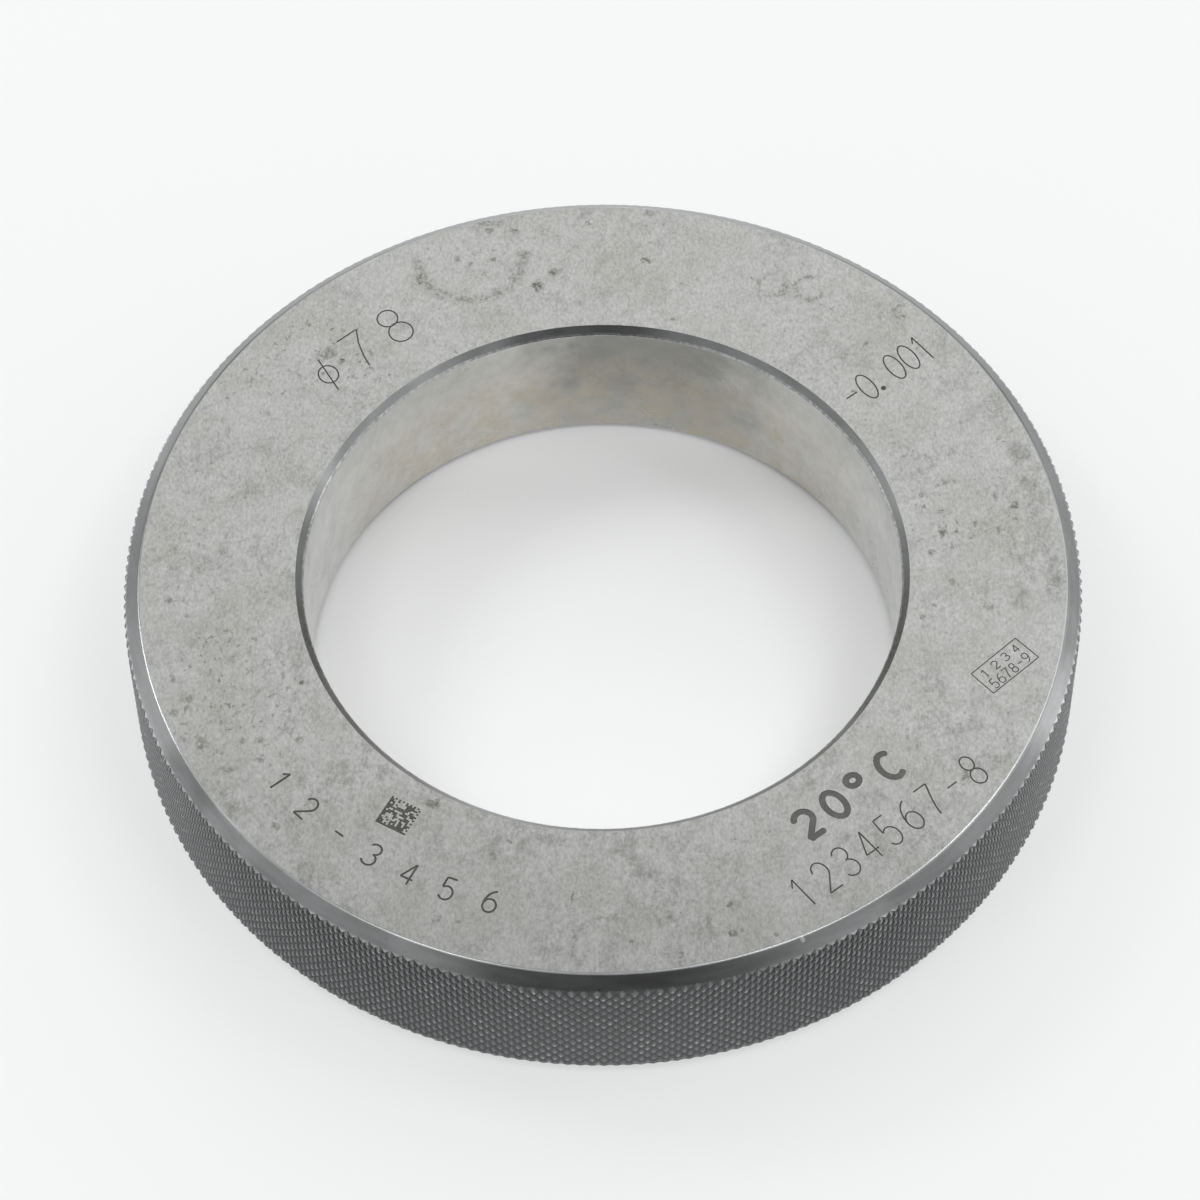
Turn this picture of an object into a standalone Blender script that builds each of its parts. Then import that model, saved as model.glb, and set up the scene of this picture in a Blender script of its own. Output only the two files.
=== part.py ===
"""Setting ring gauge: one hardened steel ring, turned, ground and knurled round its rim.

Metres, +Z up. The origin is at the centre of the bottom face, and the bore's axis is Z.
The section is turned round Z, and the diamond knurl is then raised on the rim's band.
"""
import math

import bmesh
import bpy

# Driving dimensions
BORE_DIAMETER = 0.078
WALL = 0.0235               # from the bore out to the crests of the knurl
HEIGHT = 0.022
BORE_CHAMFER = 0.001        # width on the face, at both mouths of the bore
RIM_CHAMFER = 0.002         # width on the face, at both ends of the knurled band
CHAMFER_ANGLE = math.radians(45.0)
FACE_EDGE_RADIUS = 0.0003   # where a flat face turns into the rim's chamfer

# Knurl: whole diamonds are counted from these pitches, so that they close round the ring.
# They are coarser than a real knurl of this size, which keeps the solid light.
KNURL_DEPTH = 0.0004
KNURL_PITCH_AROUND = 0.00262
KNURL_PITCH_ALONG = 0.0031

# Fineness of the rounded edge
EDGE_SEGMENTS = 2

# Finish
STEEL_COLOUR = (0.40, 0.40, 0.385, 1.0)
STEEL_METALLIC = 0.95
STEEL_ROUGHNESS = 0.38
SMOOTH_ANGLE = math.radians(12.0)

MERGE_DISTANCE = 0.00001
SAME_PLACE = 0.000001

# Sizes that follow from the ones above
BORE_RADIUS = BORE_DIAMETER / 2
CREST_RADIUS = BORE_RADIUS + WALL
ROOT_RADIUS = CREST_RADIUS - KNURL_DEPTH
FACE_OUTER_RADIUS = CREST_RADIUS - RIM_CHAMFER
CHAMFER_SLOPE = math.tan(CHAMFER_ANGLE)
CREST_TOP = HEIGHT - RIM_CHAMFER * CHAMFER_SLOPE
ROOT_TOP = CREST_TOP + KNURL_DEPTH * CHAMFER_SLOPE
ROOT_BOTTOM = HEIGHT - ROOT_TOP
KNURL_COLUMNS = round(2 * math.pi * CREST_RADIUS / KNURL_PITCH_AROUND)
KNURL_ROWS = round((ROOT_TOP - ROOT_BOTTOM) / KNURL_PITCH_ALONG)


def clear_scene():
    """Remove every object that the file starts with."""
    for obj in list(bpy.data.objects):
        bpy.data.objects.remove(obj)


def make_collection(name):
    """A new collection, linked to the scene."""
    collection = bpy.data.collections.new(name)
    bpy.context.scene.collection.children.link(collection)
    return collection


def make_steel():
    """Ground tool steel, grey with a slightly warm cast."""
    material = bpy.data.materials.new("ground_steel")
    material.use_nodes = True
    shader = material.node_tree.nodes["Principled BSDF"]
    shader.inputs["Base Color"].default_value = STEEL_COLOUR
    shader.inputs["Metallic"].default_value = STEEL_METALLIC
    shader.inputs["Roughness"].default_value = STEEL_ROUGHNESS
    return material


def rounded_top_edge():
    """Points (radius, height) of the arc from the top face into the rim's chamfer."""
    # The arc touches the face and the chamfer at the same distance from where they would meet.
    touch = FACE_EDGE_RADIUS * math.tan(CHAMFER_ANGLE / 2)
    centre_radius = FACE_OUTER_RADIUS - touch
    centre_height = HEIGHT - FACE_EDGE_RADIUS
    points = []
    for step in range(EDGE_SEGMENTS + 1):
        angle = math.pi / 2 - CHAMFER_ANGLE * step / EDGE_SEGMENTS
        radius = centre_radius + FACE_EDGE_RADIUS * math.cos(angle)
        height = centre_height + FACE_EDGE_RADIUS * math.sin(angle)
        points.append((radius, height))
    return points


def mirrored(points):
    """The same points about mid-height, in the order that carries on round the section."""
    return [(radius, HEIGHT - height) for radius, height in reversed(points)]


def section_outline():
    """The ring's closed section: down the rim, across the bottom face and up the bore."""
    upper_rim = rounded_top_edge()
    band = []
    for row in range(KNURL_ROWS + 1):
        height = ROOT_TOP + (ROOT_BOTTOM - ROOT_TOP) * row / KNURL_ROWS
        band.append((ROOT_RADIUS, height))
    lower_rim = mirrored(upper_rim)
    upper_mouth = [
        (BORE_RADIUS, HEIGHT - BORE_CHAMFER * CHAMFER_SLOPE),
        (BORE_RADIUS + BORE_CHAMFER, HEIGHT),
    ]
    lower_mouth = mirrored(upper_mouth)
    return upper_rim + band + lower_rim + lower_mouth + upper_mouth


def turn_section(name, collection):
    """Turn the section round Z with one step for each column of diamonds."""
    outline = section_outline()
    corners = [(radius, 0.0, height) for radius, height in outline]
    edges = [(index, (index + 1) % len(corners)) for index in range(len(corners))]
    mesh = bpy.data.meshes.new(name)
    mesh.from_pydata(corners, edges, [])
    ring = bpy.data.objects.new(name, mesh)
    collection.objects.link(ring)

    turn = ring.modifiers.new("turn", "SCREW")
    turn.axis = "Z"
    turn.angle = 2 * math.pi
    turn.steps = KNURL_COLUMNS
    turn.render_steps = KNURL_COLUMNS
    turn.use_merge_vertices = True
    turn.merge_threshold = MERGE_DISTANCE

    bpy.context.view_layer.objects.active = ring
    ring.select_set(True)
    bpy.ops.object.modifier_apply(modifier=turn.name)
    ring.select_set(False)
    return ring


def set_radius(vertex, radius):
    """Move a vertex straight out from the axis to the given radius."""
    scale = radius / math.hypot(vertex.co.x, vertex.co.y)
    vertex.co.x *= scale
    vertex.co.y *= scale


def on_band(element):
    """True where every vertex of a face or an edge lies at the knurl's root radius."""
    return all(
        abs(math.hypot(vertex.co.x, vertex.co.y) - ROOT_RADIUS) < SAME_PLACE
        for vertex in element.verts
    )


def on_chamfer(edge):
    """True for an edge along the circle where a chamfer meets the knurl's roots."""
    heights = [vertex.co.z for vertex in edge.verts]
    top = all(abs(height - ROOT_TOP) < SAME_PLACE for height in heights)
    bottom = all(abs(height - ROOT_BOTTOM) < SAME_PLACE for height in heights)
    return top or bottom


def raise_knurl(ring):
    """Turn the band's squares into diamonds and raise a point on each one."""
    shape = bmesh.new()
    shape.from_mesh(ring.data)

    # Each square gets a centre. The square's own sides then go, which leaves diamonds, and
    # half diamonds against the chamfers.
    squares = [face for face in shape.faces if on_band(face)]
    sides = [edge for edge in shape.edges if all(on_band(face) for face in edge.link_faces)]
    poked = bmesh.ops.poke(shape, faces=squares)
    for vertex in poked["verts"]:
        set_radius(vertex, ROOT_RADIUS)
    bmesh.ops.dissolve_edges(shape, edges=sides, use_verts=False)

    # A whole diamond rises to a point at its middle. A half diamond's point lies where the
    # chamfer cuts it, at the crest radius, which gives the band its toothed ends.
    diamonds = [face for face in shape.faces if on_band(face)]
    raised = bmesh.ops.poke(shape, faces=diamonds)
    middle = HEIGHT / 2
    reach = CREST_TOP - middle
    for vertex in raised["verts"]:
        set_radius(vertex, CREST_RADIUS)
        if any(on_chamfer(edge) for face in vertex.link_faces for edge in face.edges):
            vertex.co.z = middle + math.copysign(reach, vertex.co.z - middle)

    bmesh.ops.recalc_face_normals(shape, faces=shape.faces)
    shape.to_mesh(ring.data)
    shape.free()


def finish(ring, material):
    """Give the ring its steel, smooth round its turned faces and crisp at its edges."""
    ring.data.materials.append(material)
    ring.data.shade_smooth()
    ring.data.set_sharp_from_angle(angle=SMOOTH_ANGLE)


def main():
    clear_scene()
    collection = make_collection("setting_ring_gauge")
    ring = turn_section("setting_ring", collection)
    raise_knurl(ring)
    finish(ring, make_steel())


main()
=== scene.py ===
"""Looks of a setting ring gauge: a lapped steel ring with engraved figures and a diamond-knurled rim.

Metres, +Z up, in the frame of the packed part: the origin is at the centre of the bottom face.
Positions of marks and stains on the top face are in millimetres from the ring's axis.
"""
import math
import random

import bmesh
import bpy
from bpy.props import FloatProperty, FloatVectorProperty, IntProperty, PointerProperty
from mathutils import Matrix, Vector


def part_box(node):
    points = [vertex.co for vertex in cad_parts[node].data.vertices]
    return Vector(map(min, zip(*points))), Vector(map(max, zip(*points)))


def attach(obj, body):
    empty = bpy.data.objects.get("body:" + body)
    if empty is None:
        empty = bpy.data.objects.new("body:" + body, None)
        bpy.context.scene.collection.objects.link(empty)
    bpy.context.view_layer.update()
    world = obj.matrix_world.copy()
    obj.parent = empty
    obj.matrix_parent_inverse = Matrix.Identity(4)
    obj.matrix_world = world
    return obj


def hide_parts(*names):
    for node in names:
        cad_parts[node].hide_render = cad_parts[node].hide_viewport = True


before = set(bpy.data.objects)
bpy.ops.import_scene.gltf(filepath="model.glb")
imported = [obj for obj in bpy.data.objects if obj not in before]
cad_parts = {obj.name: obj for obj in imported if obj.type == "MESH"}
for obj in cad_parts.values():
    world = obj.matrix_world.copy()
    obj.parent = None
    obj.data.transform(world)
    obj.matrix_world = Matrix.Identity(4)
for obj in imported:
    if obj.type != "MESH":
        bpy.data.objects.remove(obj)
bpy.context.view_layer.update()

bl_info = {
    "name": "Setting ring gauge",
    "version": (1, 0, 0),
    "blender": (4, 5, 0),
    "location": "View3D > Sidebar > Ring gauge",
    "description": "Builds a knurled steel setting ring with its engraved figures and its stage",
    "category": "Object",
}

CAD_NODE = "setting_ring"
CAD_BODY = "root"
RING_LOW, RING_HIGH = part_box(CAD_NODE)

PIECE = "knurled_ring"
MM = 0.001
SAME_PLACE = 0.000001
MERGE_DISTANCE = 0.000002
SAME_SLOPE = 0.002
SMOOTH_ANGLE = math.radians(14.0)
RELIEF = 0.00002
ROUND_SEGMENTS = 4
HALF_CHAMFER_TANGENT = math.tan(math.radians(22.5))
CORNER_ANGLE = math.radians(60.0)
CORNER_SHARE = 0.42             # of a stroke's width, by which its corners are rounded
CUTTER_DEPTHS = 3               # height of a cutter, in depths of the engraving
BLOCK_CELLS = 16
BLOCK_SEED = 7
DARK_BLOCKS = 0.52              # share of the block pattern's cells that are dark
BLOCK_WIDTH = 0.94              # of a cell, so that neighbouring rows don't touch
STEEP_CHAMFER = 0.69            # a face whose normal leans further up than this is a chamfer
ORIGIN = (0.0, 0.0, 0.0)
WHITE = (1.0, 1.0, 1.0, 1.0)
BLACK = (0.0, 0.0, 0.0, 1.0)

# Material slots of the ring, in this order
FACE, RIM_CHAMFER, KNURL, BORE_WALL, BORE_CHAMFER, ENGRAVING, BOLD_ENGRAVING = range(7)


def cosine(degrees):
    return math.cos(math.radians(degrees))


def sine(degrees):
    return math.sin(math.radians(degrees))


def heading(degrees):
    """Unit vector in the plane of the face."""
    return Vector((cosine(degrees), sine(degrees)))


def direction(azimuth, elevation=0.0):
    """Unit vector towards a place in the room."""
    flat = cosine(elevation)
    return (cosine(azimuth) * flat, sine(azimuth) * flat, sine(elevation))


def length_field(name, description, default, smallest=0.0001):
    """A property that holds a length."""
    return FloatProperty(
        name=name, description=description, default=default, min=smallest, unit="LENGTH", precision=6)


def share_field(name, description, default, largest=1.0):
    """A property that holds a share of something else."""
    return FloatProperty(
        name=name, description=description, default=default, min=0.0, max=largest, subtype="FACTOR")


def colour_field(name, description, *default):
    """A property that holds an opaque colour."""
    return FloatVectorProperty(
        name=name, description=description, default=(*default, 1.0), size=4, min=0.0, max=1.0,
        subtype="COLOR")


def power_field(name, description, default):
    """A property that holds a lamp's power."""
    return FloatProperty(name=name, description=description, default=default, min=0.0, unit="POWER")


def brightness_field(name, description, default):
    """A property that holds a brightness of the room."""
    return FloatProperty(name=name, description=description, default=default, min=0.0)


def count_field(name, description, default, smallest):
    """A property that holds a whole number."""
    return IntProperty(name=name, description=description, default=default, min=smallest)


class RingShape(bpy.types.PropertyGroup):
    """Sizes of the turned and knurled ring."""

    bore_diameter: length_field("Bore", "Diameter of the lapped bore", 0.078)
    outer_diameter: length_field(
        "Outside", "Diameter over the crests of the knurl", RING_HIGH.x - RING_LOW.x)
    height: length_field("Height", "Distance between the two flat faces", RING_HIGH.z - RING_LOW.z)
    bore_chamfer: length_field("Bore chamfer", "Width of the chamfer at both mouths of the bore", 0.001)
    rim_chamfer: length_field(
        "Rim chamfer", "Width of the chamfer at both ends of the knurled band", 0.002)
    edge_radius: length_field(
        "Edge radius", "Rounding where a flat face turns into the rim chamfer", 0.0005, 0.00005)
    bore_edge_radius: length_field(
        "Bore edge radius", "Rounding where the bore's wall turns into its chamfer", 0.00015, 0.00005)
    knurl_depth: length_field("Knurl depth", "From the crests of the knurl down to its grooves", 0.00045)
    knurl_columns: count_field("Knurl columns", "Whole diamonds round the rim", 252, 24)
    knurl_rows: count_field("Knurl rows", "Whole diamonds across the rim", 11, 2)
    crest_share: share_field("Crest", "Share of a diamond's width that its worn crest takes", 0.27, 0.8)
    crown_share: share_field("Crown", "Share of the knurl's depth by which a crest is domed", 0.04, 0.5)


class MarkShape(bpy.types.PropertyGroup):
    """Sizes of the engraved figures."""

    depth: length_field("Depth", "Depth of the engraving", 0.00005, 0.00001)
    pen: length_field("Pen", "Stroke width of the figures", 0.00021, 0.00005)
    broad_pen: length_field("Broad pen", "Stroke width of the figures along the rim", 0.00028, 0.00005)
    fine_pen: length_field("Fine pen", "Stroke width of the framed figures", 0.00014, 0.00005)
    bold_pen: length_field("Bold pen", "Stroke width of the bold figures", 0.00085)
    dot_pen: length_field("Decimal dot", "Width of the decimal point", 0.0007)
    bold_depth: length_field("Bold depth", "Depth of the bold figures", 0.00004, 0.00001)
    code_cell: length_field("Block cell", "Side of one cell of the block pattern", 0.00027)


class RingFinish(bpy.types.PropertyGroup):
    """Colours of the steel and of what has settled on it."""

    face: colour_field("Face", "Lapped faces", 0.43, 0.434, 0.427)
    # Dull patches, and also the colour of the partly painted shade on the bore's far wall
    cloud_and_shade: colour_field("Clouding", "Dull patches of the lapped faces", 0.25, 0.252, 0.235)
    pit: colour_field("Pits", "Pits and dark specks", 0.12, 0.117, 0.10)
    chamfer: colour_field("Chamfers", "Turned chamfers of the rim", 0.35, 0.355, 0.36)
    bore_chamfer: colour_field("Bore chamfers", "Turned chamfers of the bore", 0.305, 0.31, 0.314)
    knurl: colour_field("Knurl", "Knurled rim", 0.208, 0.211, 0.214)
    bore: colour_field("Bore", "Lapped bore", 0.74, 0.74, 0.727)
    olive: colour_field("Olive cast", "Oily cast of parts of the faces", 0.355, 0.357, 0.327)
    # Colour of wear, and also of the painted highlight on the rim's rounding and the painted glint on the
    # knurl's cut ends
    worn_and_sheen: colour_field("Worn metal", "Nicks, worn crests and cut ends of the knurl", 0.75, 0.755, 0.755)
    tint: colour_field("Bore tint", "Oily cast of the bore's dull side", 0.60, 0.60, 0.545)
    rust: colour_field("Tarnish", "Warm tarnish", 0.60, 0.525, 0.40)
    engraving: colour_field("Engraving", "Floor of the engraved figures", 0.075, 0.073, 0.067)
    bold: colour_field("Bold engraving", "Floor of the bold figures", 0.105, 0.104, 0.099)


class StageLight(bpy.types.PropertyGroup):
    """Floor, lamps and surroundings."""

    floor_colour: colour_field("Floor", "Pale floor", 0.91, 0.915, 0.918)
    floor_lift: share_field(
        "Shadow lift", "How far the floor's shadows outside the ring are lightened", 0.62)
    surround: brightness_field("Surroundings", "Brightness of the pale room near the horizon", 0.52)
    zenith: brightness_field("Ceiling", "How much brighter the room is overhead", 0.12)
    window: brightness_field("Windows", "Brightness of the light patches low in the room", 0.55)
    overhead_lamp: power_field("Overhead lamps", "Power of each of the small lamps overhead", 1.65)
    back_lamp: power_field("Back lamp", "Power of the wide lamp behind the ring", 2.55)


# Figures as single strokes in a box one wide and one high, seen upright

def polyline(*points):
    """One stroke through points on the face, in millimetres."""
    return [Vector(point) for point in points]


def arc(centre, radii, start, end, steps):
    """Points along an ellipse's arc, with its angles in degrees."""
    points = []
    for step in range(steps + 1):
        angle = start + (end - start) * step / steps
        points.append((centre[0] + radii[0] * cosine(angle), centre[1] + radii[1] * sine(angle)))
    return points


def figure_strokes():
    """The strokes of each figure. A stroke whose last point is its first is a closed one."""
    return {
        "0": [arc((0.5, 0.5), (0.5, 0.5), 0, 360, 20)],
        "1": [[(0.12, 0.76), (0.5, 1.0)], [(0.5, 1.0), (0.5, 0.0)]],
        "2": [arc((0.5, 0.7), (0.5, 0.3), 168, -42, 12) + [(0.0, 0.0)], [(0.0, 0.0), (1.0, 0.0)]],
        "3": [arc((0.45, 0.76), (0.48, 0.24), 155, -78, 12), arc((0.45, 0.27), (0.55, 0.27), 86, -155, 14)],
        "4": [[(0.72, 0.0), (0.72, 1.0)], [(0.72, 1.0), (0.0, 0.28)], [(0.0, 0.28), (1.0, 0.28)]],
        "5": [[(0.9, 1.0), (0.14, 1.0)], [(0.14, 1.0), (0.07, 0.54)],
              arc((0.46, 0.31), (0.52, 0.31), 138, -150, 14)],
        "6": [arc((0.5, 0.3), (0.5, 0.3), 0, 360, 18), arc((1.0, 0.3), (1.0, 0.7), 180, 100, 8)],
        "7": [[(0.0, 1.0), (1.0, 1.0)], [(1.0, 1.0), (0.62, 0.55), (0.42, 0.25), (0.34, 0.0)]],
        "8": [arc((0.5, 0.76), (0.42, 0.24), 0, 360, 16), arc((0.5, 0.26), (0.5, 0.26), 0, 360, 18)],
        "9": [arc((0.5, 0.7), (0.5, 0.3), 0, 360, 18), arc((0.0, 0.7), (1.0, 0.7), 0, -80, 8)],
        "-": [[(0.1, 0.5), (0.9, 0.5)]],
        "C": [arc((0.55, 0.5), (0.55, 0.5), 48, 312, 16)],
        "o": [arc((0.32, 0.82), (0.36, 0.2), 0, 360, 14)],
    }


def placed(strokes, centre, size, turn):
    """Strokes moved from their unit box to a place on the face, in millimetres and degrees."""
    along, up = heading(turn), heading(turn + 90.0)
    return [
        [Vector(centre) + along * (x - 0.5) * size[0] + up * (y - 0.5) * size[1] for x, y in stroke]
        for stroke in strokes
    ]


def line_of_figures(text, first, last, size, turn):
    """Figures spread evenly from the centre of the first to the centre of the last."""
    glyphs = figure_strokes()
    start, end = Vector(first), Vector(last)
    strokes = []
    for index, figure in enumerate(text):
        centre = start.lerp(end, index / max(1, len(text) - 1))
        strokes += placed(glyphs[figure], centre, size, turn)
    return strokes


def arc_of_figures(text, radius, azimuths, size):
    """Figures along a circle round the bore, with their tops towards its centre."""
    glyphs = figure_strokes()
    strokes = []
    for figure, azimuth in zip(text, azimuths):
        strokes += placed(glyphs[figure], heading(azimuth) * radius, size, azimuth + 90.0)
    return strokes


def size_figures():
    """The nominal bore and the deviation from it."""
    oval = figure_strokes()["0"]
    strokes = placed(oval, (-36.3, 32.4), (2.65, 3.0), 30.0)
    strokes += [
        polyline((-37.75, 34.9), (-34.9, 29.8)), polyline((-35.3, 37.8), (-32.7, 39.9)),
        polyline((-32.7, 39.9), (-32.35, 37.6), (-31.6, 35.4), (-30.8, 33.8)),
    ]
    strokes += placed(oval, (-28.5, 41.65), (2.8, 2.8), 0.0)
    strokes += placed(oval, (-26.65, 39.4), (3.3, 3.3), 0.0)
    strokes.append(polyline((32.95, 26.9), (34.4, 28.05)))
    for centre in ((35.75, 28.9), (39.6, 32.1), (41.55, 33.7)):
        strokes += placed(oval, centre, (2.0, 4.4), 33.0)
    strokes += [polyline((42.2, 35.9), (42.1, 37.0)), polyline((42.1, 37.0), (44.95, 33.45))]
    return strokes


def decimal_dot(width):
    """One short stroke as long as it is wide, which its rounded corners turn into a dot."""
    middle, half = Vector((37.95, 28.6)), Vector((width / 2, 0.0))
    return [[middle - half, middle + half]]


def framed_figures():
    """A small frame with two rows of figures in it."""
    corners = polyline((47.0, -17.3), (53.0, -11.9), (55.8, -14.9), (49.7, -20.3))
    strokes = [[corners[i], corners[(i + 1) % 4]] for i in range(4)]
    strokes += line_of_figures("1234", (48.8, -17.2), (52.9, -13.5), (0.85, 1.2), 42.0)
    strokes += line_of_figures("5678-9", (49.9, -18.8), (54.2, -14.9), (0.8, 1.5), 42.0)
    return strokes


def block_rows(cells):
    """A square pattern of dark blocks that stands for no message, as runs of dark cells in each row."""
    dice = random.Random(BLOCK_SEED)
    rows = []
    for row in range(cells):
        dark = []
        for column in range(cells):
            edge = column == 0 or row == 0
            ticks = (row == cells - 1 and column % 2 == 0) or (column == cells - 1 and row % 2 == 0)
            inside = 0 < column < cells - 1 and 0 < row < cells - 1
            dark.append(edge or ticks or (inside and dice.random() < DARK_BLOCKS))
        runs, start = [], None
        for column, filled in enumerate(dark + [False]):
            if filled and start is None:
                start = column
            if not filled and start is not None:
                runs.append((start, column))
                start = None
        rows.append(runs)
    return rows


def block_strokes(centre, cell, cells, turn):
    """The block pattern as straight strokes one cell wide."""
    along, up = heading(turn), heading(turn + 90.0)
    strokes = []
    for row, runs in enumerate(block_rows(cells)):
        level = Vector(centre) + up * (row + 0.5 - cells / 2) * cell
        for run in runs:
            strokes.append([level + along * (column - cells / 2) * cell for column in run])
    return strokes


# Modelling

def deselect_all():
    """Nothing selected, so that an operator acts on what comes next alone."""
    if bpy.context.mode != "OBJECT":
        bpy.ops.object.mode_set(mode="OBJECT")
    bpy.ops.object.select_all(action="DESELECT")


def make_active(piece):
    """Only this object selected, and active."""
    deselect_all()
    piece.select_set(True)
    bpy.context.view_layer.objects.active = piece


def pick(piece, kind, test):
    """Select in edit mode the vertices, edges or faces that pass a test, and say how many."""
    modes = {"verts": (True, False, False), "edges": (False, True, False), "faces": (False, False, True)}
    bpy.context.tool_settings.mesh_select_mode = modes[kind]
    bpy.ops.mesh.select_all(action="DESELECT")
    shape = bmesh.from_edit_mesh(piece.data)
    found = 0
    for element in getattr(shape, kind):
        if test(element):
            element.select_set(True)
            found += 1
    shape.select_flush_mode()
    bmesh.update_edit_mesh(piece.data)
    return found


def radius_of(point):
    """Distance from the ring's axis."""
    return math.hypot(point.x, point.y)


def near(value, target):
    """True where two lengths are the same."""
    return abs(value - target) < SAME_PLACE * 5


def edit(piece):
    """Only this object selected, and in edit mode."""
    make_active(piece)
    bpy.ops.object.mode_set(mode="EDIT")


def turn_outwards():
    """All faces pointing outwards, and back to object mode."""
    bpy.ops.mesh.select_all(action="SELECT")
    bpy.ops.mesh.normals_make_consistent(inside=False)
    bpy.ops.object.mode_set(mode="OBJECT")


def apply_modifier(piece, modifier):
    """Make a modifier part of the mesh."""
    make_active(piece)
    bpy.ops.object.modifier_apply(modifier=modifier.name)


class GAUGE_OT_turn_ring(bpy.types.Operator):
    """Turn the ring's section with its chamfers round the bore's axis"""

    bl_idname = "gauge.turn_ring"
    bl_label = "Turn the ring"

    def execute(self, context):
        sizes = context.scene.ring_shape
        bore = sizes.bore_diameter / 2
        root = sizes.outer_diameter / 2 - sizes.knurl_depth
        face_edge = sizes.outer_diameter / 2 - sizes.rim_chamfer
        deselect_all()
        bpy.ops.mesh.primitive_plane_add(
            size=1.0, location=((bore + root) / 2, 0.0, sizes.height / 2), rotation=(math.pi / 2, 0.0, 0.0))
        ring = context.active_object
        ring.name = ring.data.name = PIECE
        ring.scale = (root - bore, sizes.height, 1.0)
        bpy.ops.object.transform_apply(location=True, rotation=True, scale=True)

        edit(ring)
        for radius, offset, segments in (
                (root, root - face_edge, 1), (bore, sizes.bore_chamfer, 1),
                (face_edge, sizes.edge_radius * HALF_CHAMFER_TANGENT, ROUND_SEGMENTS),
                (bore, sizes.bore_edge_radius * HALF_CHAMFER_TANGENT, ROUND_SEGMENTS)):
            pick(ring, "verts", lambda v: near(v.co.x, radius))
            bpy.ops.mesh.bevel(offset_type="OFFSET", offset=offset, segments=segments, affect="VERTICES")
        pick(ring, "edges", lambda e: all(near(v.co.x, root) for v in e.verts))
        bpy.ops.mesh.subdivide(number_cuts=sizes.knurl_rows - 1)
        pick(ring, "faces", lambda f: True)
        bpy.ops.mesh.delete(type="ONLY_FACE")

        pick(ring, "edges", lambda e: True)
        bpy.ops.mesh.spin(
            steps=sizes.knurl_columns, angle=2 * math.pi, center=ORIGIN, axis=(0.0, 0.0, 1.0))
        bpy.ops.mesh.select_all(action="SELECT")
        bpy.ops.mesh.remove_doubles(threshold=MERGE_DISTANCE)
        turn_outwards()
        return {"FINISHED"}


def stroke_cutter(name, strokes, pen, floor, rise, rounded):
    """Solid strokes of one width that stand from the engraving's floor to above the face."""
    points, edges = [], []
    for stroke in strokes:
        closed = len(stroke) > 2 and (stroke[0] - stroke[-1]).length < 0.001
        corners = stroke[:-1] if closed else stroke
        first = len(points)
        points += [(p.x * MM, p.y * MM, floor) for p in corners]
        edges += [(first + i, first + i + 1) for i in range(len(corners) - 1)]
        if closed:
            edges.append((first + len(corners) - 1, first))
    mesh = bpy.data.meshes.new(name)
    mesh.from_pydata(points, edges, [])
    cutter = bpy.data.objects.new(name, mesh)
    bpy.context.scene.collection.objects.link(cutter)
    edit(cutter)
    bpy.ops.mesh.select_all(action="SELECT")
    bpy.ops.mesh.extrude_region_move(TRANSFORM_OT_translate={"value": (0.0, 0.0, rise)})
    turn_outwards()
    wall = cutter.modifiers.new("pen_width", "SOLIDIFY")
    wall.thickness = pen
    wall.offset = 0.0
    wall.use_even_offset = True
    apply_modifier(cutter, wall)

    edit(cutter)
    if rounded:
        def stroke_corner(edge):
            upright = abs(edge.verts[0].co.z - edge.verts[1].co.z) > rise / 2
            return upright and len(edge.link_faces) == 2 and edge.calc_face_angle() > CORNER_ANGLE
        pick(cutter, "edges", stroke_corner)
        bpy.ops.mesh.bevel(offset_type="OFFSET", offset=pen * CORNER_SHARE, segments=3, affect="EDGES")
    turn_outwards()
    return cutter


class GAUGE_OT_engrave(bpy.types.Operator):
    """Cut the figures, the frame and the block pattern into the top face"""

    bl_idname = "gauge.engrave"
    bl_label = "Engrave the figures"

    def execute(self, context):
        sizes = context.scene.ring_shape
        marks = context.scene.mark_shape
        ring = bpy.data.objects[PIECE]
        floor = sizes.height - marks.depth
        rise = marks.depth * CUTTER_DEPTHS
        plain = size_figures()
        plain += line_of_figures("1234567-8", (24.3, -49.3), (46.4, -31.8), (2.0, 4.6), 38.4)
        along_rim = arc_of_figures(
            "12-3456", 52.0, (-142.3, -136.4, -130.2, -124.4, -118.4, -112.5, -106.3), (1.7, 3.2))
        bold = line_of_figures("20oC", (25.2, -39.4), (35.8, -31.0), (2.5, 4.0), 38.8)
        dot = decimal_dot(marks.dot_pen / MM)
        blocks = block_strokes((-26.15, -37.2), marks.code_cell / MM, BLOCK_CELLS, -30.0)
        bold_floor = sizes.height - marks.bold_depth
        for name, strokes, pen, level, rounded in (
                ("plain_strokes", plain, marks.pen, floor, True),
                ("broad_strokes", along_rim, marks.broad_pen, floor, True),
                ("fine_strokes", framed_figures(), marks.fine_pen, floor, False),
                ("bold_strokes", bold, marks.bold_pen, bold_floor, True),
                ("decimal_dot", dot, marks.dot_pen, floor, True),
                ("blocks", blocks, marks.code_cell * BLOCK_WIDTH, floor, False)):
            cutter = stroke_cutter(name, strokes, pen, level, rise, rounded)
            cut = ring.modifiers.new(cutter.name, "BOOLEAN")
            cut.operation = "DIFFERENCE"
            cut.solver = "EXACT"
            cut.use_self = cutter.name != "blocks"
            cut.object = cutter
            apply_modifier(ring, cut)
            bpy.data.objects.remove(cutter)
        return {"FINISHED"}


def move_out(piece, radius):
    """Scale the selected vertices, which are alike, out to a radius, and say at what height they lie."""
    tip = next(v.co.copy() for v in bmesh.from_edit_mesh(piece.data).verts if v.select)
    grow = radius / radius_of(tip)
    bpy.ops.transform.resize(value=(grow, grow, 1.0), center_override=ORIGIN)
    return tip.z


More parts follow.
